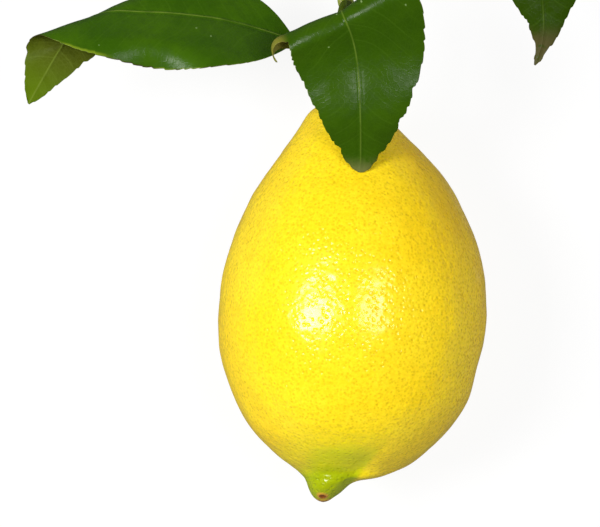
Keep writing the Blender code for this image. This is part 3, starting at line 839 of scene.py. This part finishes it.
def leaf_material():
    """A leaf's upper side, underside, veins, margin and dried tip, told apart by its marks."""
    material, tree, shader, place = new_material("leaf_looks")
    flat = read_mark(tree, "blade", "Vector")
    over = read_mark(tree, "over")
    phase = read_mark(tree, "veins")
    fading = read_mark(tree, "fading")
    deep = read_mark(tree, "deep")

    across = add_node(tree, "ShaderNodeSeparateXYZ", {0: flat}).outputs["X"]
    rib = rescale(tree, calculate(tree, "ABSOLUTE", across), 0.00006, 0.00026, 1.0, 0.0)
    main = times(tree, vein_lines(tree, phase, 0.06, 1.0), fading)
    minor = times(tree, vein_lines(tree, times(tree, phase, 2.0), 0.07, 0.4), fading)
    vein = calculate(tree, "MAXIMUM", main, minor)

    patches = noise_node(tree, place, 0.011, 3.0, 0.55)
    mottle = noise_node(tree, flat, 0.0018, 3.0, 0.6)
    edging = noise_node(tree, flat, 0.0060, 2.0)
    net = cell_node(tree, flat, 0.0011, 0.0, 0.16, 0.9, "DISTANCE_TO_EDGE")
    glands = cell_node(tree, flat, 0.0021, 0.05, 0.13)
    specks = cell_node(tree, flat, 0.0048, 0.025, 0.06)
    rib_share = times(tree, rescale(tree, edging, 0.35, 0.60, 0.25, 0.65), read_mark(tree, "rib_shows"))
    withered = rescale(tree, mottle, 0.22, 0.48)
    withered = calculate(tree, "MULTIPLY", read_mark(tree, "dry"), withered, clamp=True)

    paler = rescale(tree, patches, 0.35, 0.65)
    top = blend_colours(tree, paler, (0.027, 0.077, 0.0018), (0.037, 0.095, 0.0024))
    top = lay_over(tree, top, {
        "mottling": (rescale(tree, mottle, 0.40, 0.70, 0.0, 0.35), (0.021, 0.060, 0.0015)),
        # Deep green: partly the leaf's own darker green, partly painted shade on the front and right leaves.
        "deep green": (times(tree, deep, 0.9), (0.019, 0.042, 0.001)),
        "net": (times(tree, net, 0.05), (0.060, 0.14, 0.010)),
        "veins": (times(tree, vein, 0.11), (0.085, 0.17, 0.014)),
        "rib": (times(tree, rib, rib_share), (0.15, 0.22, 0.028)),
        "specks": (times(tree, specks, 0.55), (0.30, 0.42, 0.16)),
    })
    paler = rescale(tree, patches, 0.3, 0.7)
    under = blend_colours(tree, paler, (0.052, 0.066, 0.004), (0.066, 0.086, 0.005))
    under = lay_over(tree, under, {
        "net": (times(tree, net, 0.20), (0.11, 0.14, 0.02)),
        "veins": (times(tree, vein, 0.35), (0.12, 0.16, 0.02)),
        "glands": (times(tree, glands, 0.3), (0.06, 0.10, 0.008)),
        "backlight": (read_mark(tree, "backlit"), (0.090, 0.155, 0.003)),
        "rib": (times(tree, rib, 0.55), (0.15, 0.21, 0.025)),
    })
    green = rescale(tree, edging, 0.42, 0.56)
    margin = blend_colours(tree, green, (0.045, 0.038, 0.009), (0.15, 0.21, 0.018))
    colour = lay_over(tree, blend_colours(tree, over, under, top), {
        "lit margin": (times(tree, read_mark(tree, "lit_margin"), 0.8), (0.17, 0.24, 0.012)),
        "rim": (read_mark(tree, "rim"), margin),
        "sallow curl": (times(tree, read_mark(tree, "sallow"), 0.9), (0.165, 0.160, 0.022)),
        "dried tip": (withered, blend_colours(tree, deep, (0.16, 0.18, 0.050), (0.060, 0.054, 0.014))),
    })

    dull = rescale(tree, mottle, 0.3, 0.7, 0.21, 0.35)
    dull = calculate(tree, "ADD", dull, rescale(tree, over, 0.0, 1.0, 0.2, 0.0))
    dull = calculate(tree, "ADD", dull, times(tree, withered, 0.2), clamp=True)
    normal = bump_node(tree, mottle, 0.00003)
    normal = bump_node(tree, net, 0.000012, normal)
    normal = bump_node(tree, specks, 0.00004, normal)
    connect(tree, shader, Base_Color=colour, Roughness=dull, Normal=normal)
    set_constants(shader, {"IOR": 1.45, "Specular IOR Level": 0.09})
    return material


def roll_blade(points, at, slant, radius, degrees, end):
    """Rolls what lies beyond a slanting line across the blade, toward its underside, round a radius."""
    sign = 1.0 if end == "tip" else -1.0
    angle = math.radians(degrees)
    line = np.array((math.cos(math.radians(slant)), math.sin(math.radians(slant))))
    beyond = np.array((-line[1], line[0]))
    x = points[..., 0]
    y = points[..., 1] - at
    z = points[..., 2]
    p = x * line[0] + y * line[1]
    q = (x * beyond[0] + y * beyond[1]) * sign
    arc = np.clip(q, 0.0, radius * angle)
    turned = arc / radius
    rest = q - arc
    rolled_q = np.where(q < 0, q, (radius + z) * np.sin(turned) + rest * np.cos(turned)) * sign
    rolled_z = np.where(q < 0, z, (radius + z) * np.cos(turned) - radius - rest * np.sin(turned))
    rolled_x = p * line[0] + rolled_q * beyond[0]
    rolled_y = p * line[1] + rolled_q * beyond[1] + at
    return np.stack((rolled_x, rolled_y, rolled_z), axis=-1)


def midrib(leaf, distances):
    """The midrib in the flat blade's plane, measured from the anchor, and the direction across it."""
    fine = np.linspace(0.0, leaf["length"], 401)
    fractions, leans = zip(*leaf["lean"])
    lean = np.radians(smooth_curve(fractions, leans, fine / leaf["length"]))
    step = fine[1] - fine[0]
    x = np.concatenate(([0.0], np.cumsum((np.sin(lean[1:]) + np.sin(lean[:-1])) / 2) * step))
    y = np.concatenate(([0.0], np.cumsum((np.cos(lean[1:]) + np.cos(lean[:-1])) / 2) * step))
    x -= np.interp(leaf["anchor"], fine, x)
    y -= np.interp(leaf["anchor"], fine, y)
    here = np.interp(distances, fine, lean)
    line = np.stack((np.interp(distances, fine, x), np.interp(distances, fine, y)), axis=-1)
    return line, np.stack((np.cos(here), -np.sin(here)), axis=-1)


def place_leaf(leaf, points):
    """From the blade's own axes to the shapes' axes."""
    heading, roll, pitch = (math.radians(leaf[key]) for key in ("heading", "roll", "pitch"))
    level = math.cos(pitch)
    ahead = np.array((math.cos(heading) * level, math.sin(heading) * level, math.sin(pitch)))
    right = np.array((math.sin(heading), -math.cos(heading), 0.0))
    up = np.cross(right, ahead)
    across = right * math.cos(roll) + up * math.sin(roll)
    normal = up * math.cos(roll) - right * math.sin(roll)
    moved = points[..., 0:1] * across + points[..., 1:2] * ahead + points[..., 2:3] * normal
    return np.array(leaf["at"]) + moved


def half_width(leaf, distances, across):
    """At distances from the base: the outline's share, and the half width on the side that across is on."""
    fractions, widths = zip(*leaf["outline"])
    half = np.clip(smooth_curve(fractions, widths, distances / leaf["length"]), 0.012, None)
    wide = half * np.where(across > 0, leaf["half_widths"][1], leaf["half_widths"][0])
    for side, at, spread, extra in leaf.get("lobes", ()):
        wide = wide + extra * bell(distances / leaf["length"] - at, spread) * (np.sign(across) == side)
    return half, wide


def margin_teeth(leaf, distances, across):
    """How far the margin's small forward-pointing teeth and its deeper nicks cut into the blade."""
    side = np.sign(across)
    wander = np.sin(distances * 0.53 + leaf["seed"] + side) + np.sin(distances * 0.31 + 2 * side)
    phase = (distances + 0.55 * wander) / TOOTH_SPACING + 0.37 * side
    phase = phase - np.floor(phase)
    depth = leaf["tooth_depth"] * (0.75 + 0.35 * np.sin(distances * 0.9 + 3 * side + leaf["seed"]))
    cut = depth * (1.0 - phase) ** 1.6 * smooth_step(phase, 0.0, 0.08)
    cut = cut * smooth_step(distances, 0.10 * leaf["length"], 0.22 * leaf["length"])
    for at, where, deep in leaf["notches"]:
        beyond = distances - at
        nick = np.where(beyond > 0, bell(beyond, 1.6), bell(beyond, 0.25))
        cut = cut + deep * nick * (side == where)
    return cut


def vein_field(leaf, distances, x, half):
    """A count that is half past a whole number on each side vein, how clear they are, and the swells."""
    side = np.sign(x)
    reach = np.abs(x)
    start = distances - VEIN_SLOPE * reach - VEIN_CURVE * reach**2
    wander = 0.16 * np.sin(start * 0.45 + leaf["seed"] + side) + 0.10 * np.sin(reach * 0.6 + start * 0.2)
    phase = start / VEIN_SPACING + 0.31 * side + wander + 20.0
    nearest = np.abs(phase - np.floor(phase) - 0.5) * VEIN_SPACING * 0.85
    fading = 1 - smooth_step(reach / half, 0.72, 0.93)
    fading = fading * smooth_step(distances / leaf["length"], 0.04, 0.12)
    swell = smooth_step(nearest / (VEIN_SPACING / 2), 0.05, 0.9)
    return phase, fading, swell * fading


def bent_blade(leaf, distances, across, x, lift):
    """Points of the bent blade, at distances from its base and x across, lifted off its middle surface."""
    fraction = distances / leaf["length"]
    half, wide = half_width(leaf, distances, across)
    reach = x / wide
    line, sideways = midrib(leaf, distances)
    curled = np.zeros_like(x)
    if "curl" in leaf:
        start, radius = leaf["curl"]
        # Past its widest part the blade turns only near the margin.
        start = start + 8.0 * smooth_step(fraction, 0.36, 0.46)
        turned = np.clip((x - start) / radius, 0.0, None)
        curled = (radius + lift) * (1 - np.cos(turned))
        x = np.where(turned > 0, start + (radius + lift) * np.sin(turned), x)
    fold = np.radians(leaf["folds"][0] + (leaf["folds"][1] - leaf["folds"][0]) * fraction)
    cup = leaf["cup"][0] + (leaf["cup"][1] - leaf["cup"][0]) * smooth_step(fraction, 0.40, 0.75)
    rise = np.sqrt(x**2 + FOLD_ROUNDING**2) - FOLD_ROUNDING
    z = np.tan(fold) * rise - cup * reach**2 * half - curled
    if "swell" in leaf:
        height, length, start = leaf["swell"]
        z = z + height * np.sin(2 * math.pi * (distances - start) / length)
    if "droop" in leaf:
        side, at, length, start, depth = leaf["droop"]
        beyond = np.clip((reach * side - start) / (1 - start), 0.0, None)
        z = z - depth * bell(distances - at, length) * beyond**2
    amplitude, length, phase = leaf["wave"]
    # The two margins are out of step.
    phases = phase + np.where(across > 0, 0.0, 2.1)
    z = z + amplitude * reach**2 * np.sin(2 * math.pi * distances / length + phases) + lift
    flat = np.stack((line[..., 0] + x * sideways[..., 0], line[..., 1] + x * sideways[..., 1], z), axis=-1)
    for roll in leaf["rolls"]:
        flat = roll_blade(flat, *roll)
    return place_leaf(leaf, flat)


def blade_rings(leaf):
    """Closed rings round the blade from its base to its tip, and the marks that the material reads."""
    steps = np.linspace(-1.0, 1.0, BLADE_COLUMNS)
    columns = 0.5 * steps + 0.25 * np.sign(steps) * (1 - np.cos(math.pi * steps))
    loop = np.concatenate((columns, columns[::-1]))
    upper = np.arange(len(loop)) < BLADE_COLUMNS
    distances = np.linspace(0.0, leaf["length"], BLADE_RINGS)[:, None] + np.zeros(len(loop))
    across = np.zeros((BLADE_RINGS, 1)) + loop
    over = np.zeros((BLADE_RINGS, 1)) + upper
    fraction = distances / leaf["length"]
    half, wide = half_width(leaf, distances, across)
    x = across * wide
    x = x - np.sign(across) * margin_teeth(leaf, distances, across) * smooth_step(np.abs(across), 0.80, 1.0)

    phase, fading, swell = vein_field(leaf, distances, x, wide)
    ending = 1 - smooth_step(fraction, 0.93, 1.0)
    rib = bell(x, RIB_WIDTH * (1.3 - 0.9 * fraction)) * ending
    edge = np.sqrt(np.clip(1.0 - across**6, 0.0, None))
    body = 0.5 * BLADE_THICKNESS * np.maximum(edge, 0.45)
    flat = np.stack((x, distances, np.zeros_like(x) + leaf["seed"] * 50.0), axis=-1)
    ripple = 0.16 * noise_at(flat, 7.0, 51) + 0.05 * noise_at(flat, 2.4, 52)
    ripple = ripple * smooth_step(half, 0.1, 0.4)
    top = body + RIB_HEIGHT * rib - GROOVE_DEPTH * bell(np.abs(x) - 0.6, 0.4) + 0.03 * swell
    keel = (KEEL_HEIGHT * (1.0 - fraction) + 0.05) * bell(x, KEEL_WIDTH * (1.1 - 0.6 * fraction))
    bottom = -(body + keel - 0.06 * swell)
    lift = np.where(over > 0.5, top, bottom) + ripple

    dry_from = 1.0 - 0.9 * leaf["dry_tip"]
    withered = smooth_step(fraction, dry_from - 0.03, dry_from + 0.06) * (leaf["dry_tip"] > 0)
    lit_margin = np.zeros_like(x)
    if "lit_margin" in leaf:
        side, start, end = leaf["lit_margin"]
        lit_margin = stretch(distances, start, start + 5, end - 3, end)
        lit_margin = lit_margin * smooth_step(across * side, 0.94, 0.98) * over
    sallow = np.zeros_like(x)
    if "curl" in leaf:
        start = leaf["curl"][0]
        sallow = smooth_step(x, start - 2, start + 1) * smooth_step(0.40 - fraction, 0, 0.05)
    marks = {
        "blade": flat * MM,
        "over": over,
        "lit_margin": lit_margin,
        "sallow": sallow,
        "veins": phase,
        "fading": fading * ending,
        "rim": smooth_step(np.abs(across), 0.988, 0.999) * (1 - lit_margin),
        "dry": np.clip(withered, 0, 1),
        "rib_shows": leaf["rib_shows"][0] + (leaf["rib_shows"][1] - leaf["rib_shows"][0]) * fraction,
        "deep": np.full(x.shape, leaf["deep"]),
        "backlit": leaf["backlight"] * smooth_step(fraction, 0.78, 1.0) * (1 - over),
    }
    return bent_blade(leaf, distances, across, x, lift), marks


def petiole_rings(leaf, first):
    """Rings from the root on the shoot to the blade's first ring, round until they near the blade."""
    sides = len(first)
    end = first.mean(axis=0)
    ahead = bent_blade(leaf, np.array((0.0, 1.0)), np.zeros(2), np.zeros(2), np.zeros(2))
    end_way = unit(ahead[1] - ahead[0])
    start = np.array(leaf["root"])
    start_way = unit(leaf["root_direction"])
    reach = np.linalg.norm(end - start)
    lateral = unit(first[BLADE_COLUMNS - 1] - first[0])
    over = np.linspace(math.pi, 0.0, sides // 2)
    under = -math.pi * (np.arange(sides // 2) + 0.5) / (sides // 2)
    turns = np.concatenate((over, under))
    rings = []
    controls = np.array((start, reach * start_way, end, reach * end_way))
    for t in np.arange(PETIOLE_RINGS) / PETIOLE_RINGS:
        point = np.array(cubic_weights(t)) @ controls
        slopes = np.array((6 * t**2 - 6 * t, 3 * t**2 - 4 * t + 1, 6 * t - 6 * t**2, 3 * t**2 - 2 * t))
        way = unit(slopes @ controls)
        side = unit(lateral - way * np.dot(lateral, way))
        up = np.cross(side, way)
        swelling = 0.35 * bell(t, 0.08) + 0.12 * bell(t - 0.93, 0.05) - 0.10 * bell(t - 0.5, 0.3)
        girth = PETIOLE_RADIUS * (1 + swelling)
        wide = girth * (1 + 0.25 * smooth_step(t, 0.3, 0.8))
        round_ring = point + wide * np.cos(turns)[:, None] * side + girth * np.sin(turns)[:, None] * up
        joined = smooth_step(t, 0.86, 1.0)
        rings.append((1 - joined) * round_ring + joined * (first - end + point))
    return np.array(rings)


def build_leaf(name, leaf, material):
    blade, marks = blade_rings(leaf)
    stalk = petiole_rings(leaf, blade[0])
    whole = {}
    stalk_marks = {"over": 0.35}
    for mark, values in marks.items():
        shape = (len(stalk),) + values.shape[1:]
        value = np.full(shape, stalk_marks.get(mark, 0.0))
        if mark == "blade":
            value = (stalk - np.array(leaf["root"])) * MM
        whole[mark] = np.concatenate((value, values))
    item = ring_object(name + "_blade", np.concatenate((stalk, blade)), material, whole)
    finish_piece(item, "leaf_green", name)


# -------------------------------- studio

def build_floor():
    data = bpy.data.meshes.new("floor")
    half = FLOOR_SIZE / 2
    z = -FLOOR_DROP
    corners = [(-half, -half, z), (half, -half, z), (half, half, z), (-half, half, z)]
    data.from_pydata(corners, [], [(0, 1, 2, 3)])
    material, tree, shader, _ = new_material("floor_looks")
    rays = add_node(tree, "ShaderNodeLightPath").outputs
    glossy = rays["Is Glossy Ray"]
    glow = rescale(tree, rays["Is Camera Ray"], 0.0, 1.0, FLOOR_GLOW, FLOOR_SEEN_GLOW)
    glow = times(tree, glow, rescale(tree, glossy, 0.0, 1.0, 1.0, FLOOR_MIRRORED_SHARE))
    pale = blend_colours(tree, glossy, FLOOR_COLOUR, (0.0, 0.0, 0.0))
    connect(tree, shader, Base_Color=pale, Emission_Strength=glow)
    set_constants(shader, {"Emission Color": WHITE, "Roughness": 0.8, "Specular IOR Level": 0.2})
    data.materials.append(material)
    floor = new_object("floor", data)


def add_softbox(name, target, direction, distance, size, power):
    """A rectangle of soft light, in metres and watts, that faces the target from a direction."""
    data = bpy.data.lights.new(name, "AREA")
    data.shape = "RECTANGLE"
    data.size, data.size_y = size
    data.energy = power
    lamp = new_object(name, data)
    place = target + distance * unit(direction)
    lamp.location = place
    aim = unit(place - target)
    side = unit(np.cross((0.0, 1.0, 0.0), aim))
    up = np.cross(aim, side)
    lamp.rotation_euler = Matrix((side, up, aim)).transposed().to_euler()
    lamp.visible_camera = False


def build_studio():
    low, high = (np.array(corner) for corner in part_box("fruit"))
    middle = (low + high) / 2
    camera_data = bpy.data.cameras.new("camera")
    camera_data.sensor_width = SENSOR_WIDTH
    camera_data.lens = SENSOR_WIDTH * CAMERA_OFFSET[2] / FIELD_WIDTH
    camera = new_object("camera", camera_data)
    camera.location = middle + np.array(CAMERA_OFFSET)
    bpy.context.scene.camera = camera

    for name, settings in SOFTBOXES.items():
        add_softbox(name, middle, *settings)
    world = bpy.data.worlds.new("world")
    world.use_nodes = True
    seen = add_node(world.node_tree, "ShaderNodeLightPath").outputs["Is Camera Ray"]
    strength = rescale(world.node_tree, seen, 0.0, 1.0, WORLD_GLOW, 1.0)
    background = world.node_tree.nodes["Background"]
    background.inputs["Color"].default_value = WHITE
    world.node_tree.links.new(strength, background.inputs["Strength"])
    bpy.context.scene.world = world
    bpy.context.scene.view_settings.view_transform = "Standard"
    build_floor()


# -------------------------------- build

build_studio()
build_fruit()
build_calyx()
shoot_looks = shoot_material()
build_twig(shoot_looks)
build_buds(shoot_looks)
leaf_looks = leaf_material()
for leaf_name, leaf_shape in LEAVES.items():
    build_leaf(leaf_name, leaf_shape, leaf_looks)

bpy.context.view_layer.update()
